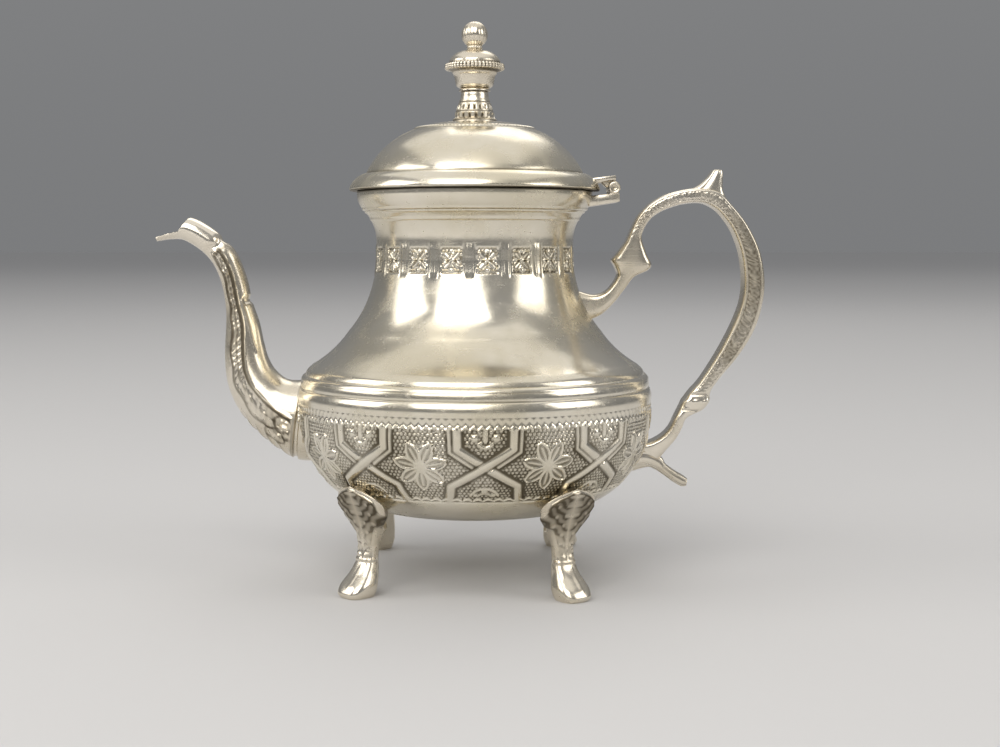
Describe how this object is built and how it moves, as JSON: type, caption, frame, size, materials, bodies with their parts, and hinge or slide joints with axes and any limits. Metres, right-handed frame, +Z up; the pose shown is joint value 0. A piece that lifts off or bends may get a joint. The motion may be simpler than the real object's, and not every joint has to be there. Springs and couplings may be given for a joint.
{
  "type": "teapot",
  "caption": "Footed silver-plated teapot with a chased bowl, waisted neck, swan-neck spout, scroll handle and hinged domed lid with a finial, for brewing and pouring tea.",
  "frame": {"origin": "on the pot's axis, in the plane that the four soles stand on", "axes": "+Z up along the pot's axis, +X from the pot towards the handle, so the spout points along -X"},
  "size_m": [0.2182, 0.1272, 0.1973],
  "materials": {
    "silver_plate": "silver-plated brass, polished, lightly tarnished in the recesses",
    "cast_silver": "cast brass, silver-plated, chased relief with dark tarnish in the hollows",
    "inner_brass": "bare turned brass"
  },
  "bodies": {
    "pot": {"lower_bowl": "silver_plate", "upper_body": "silver_plate", "neck_collar": "silver_plate", "spout": "cast_silver", "strainer_plate": "silver_plate", "handle": "cast_silver", "foot_front_left": "cast_silver", "foot_front_right": "cast_silver", "foot_rear_left": "cast_silver", "foot_rear_right": "cast_silver", "hinge_body_leaf": "silver_plate", "hinge_pin": "inner_brass"},
    "lid": {"lid_dome": "silver_plate", "lid_bezel": "silver_plate", "hinge_lid_leaf": "silver_plate", "finial_stem": "cast_silver", "finial_cup": "cast_silver", "finial_ball": "cast_silver", "finial_stud": "inner_brass", "finial_washer": "inner_brass", "finial_nut": "inner_brass"}
  },
  "joints": [
    {"name": "lid_hinge", "type": "hinge", "parent": "pot", "child": "lid", "pos_m": [0.0494, 0, 0.13855], "axis": [0, 1, 0], "range_deg": [0, 105]}
  ]
}
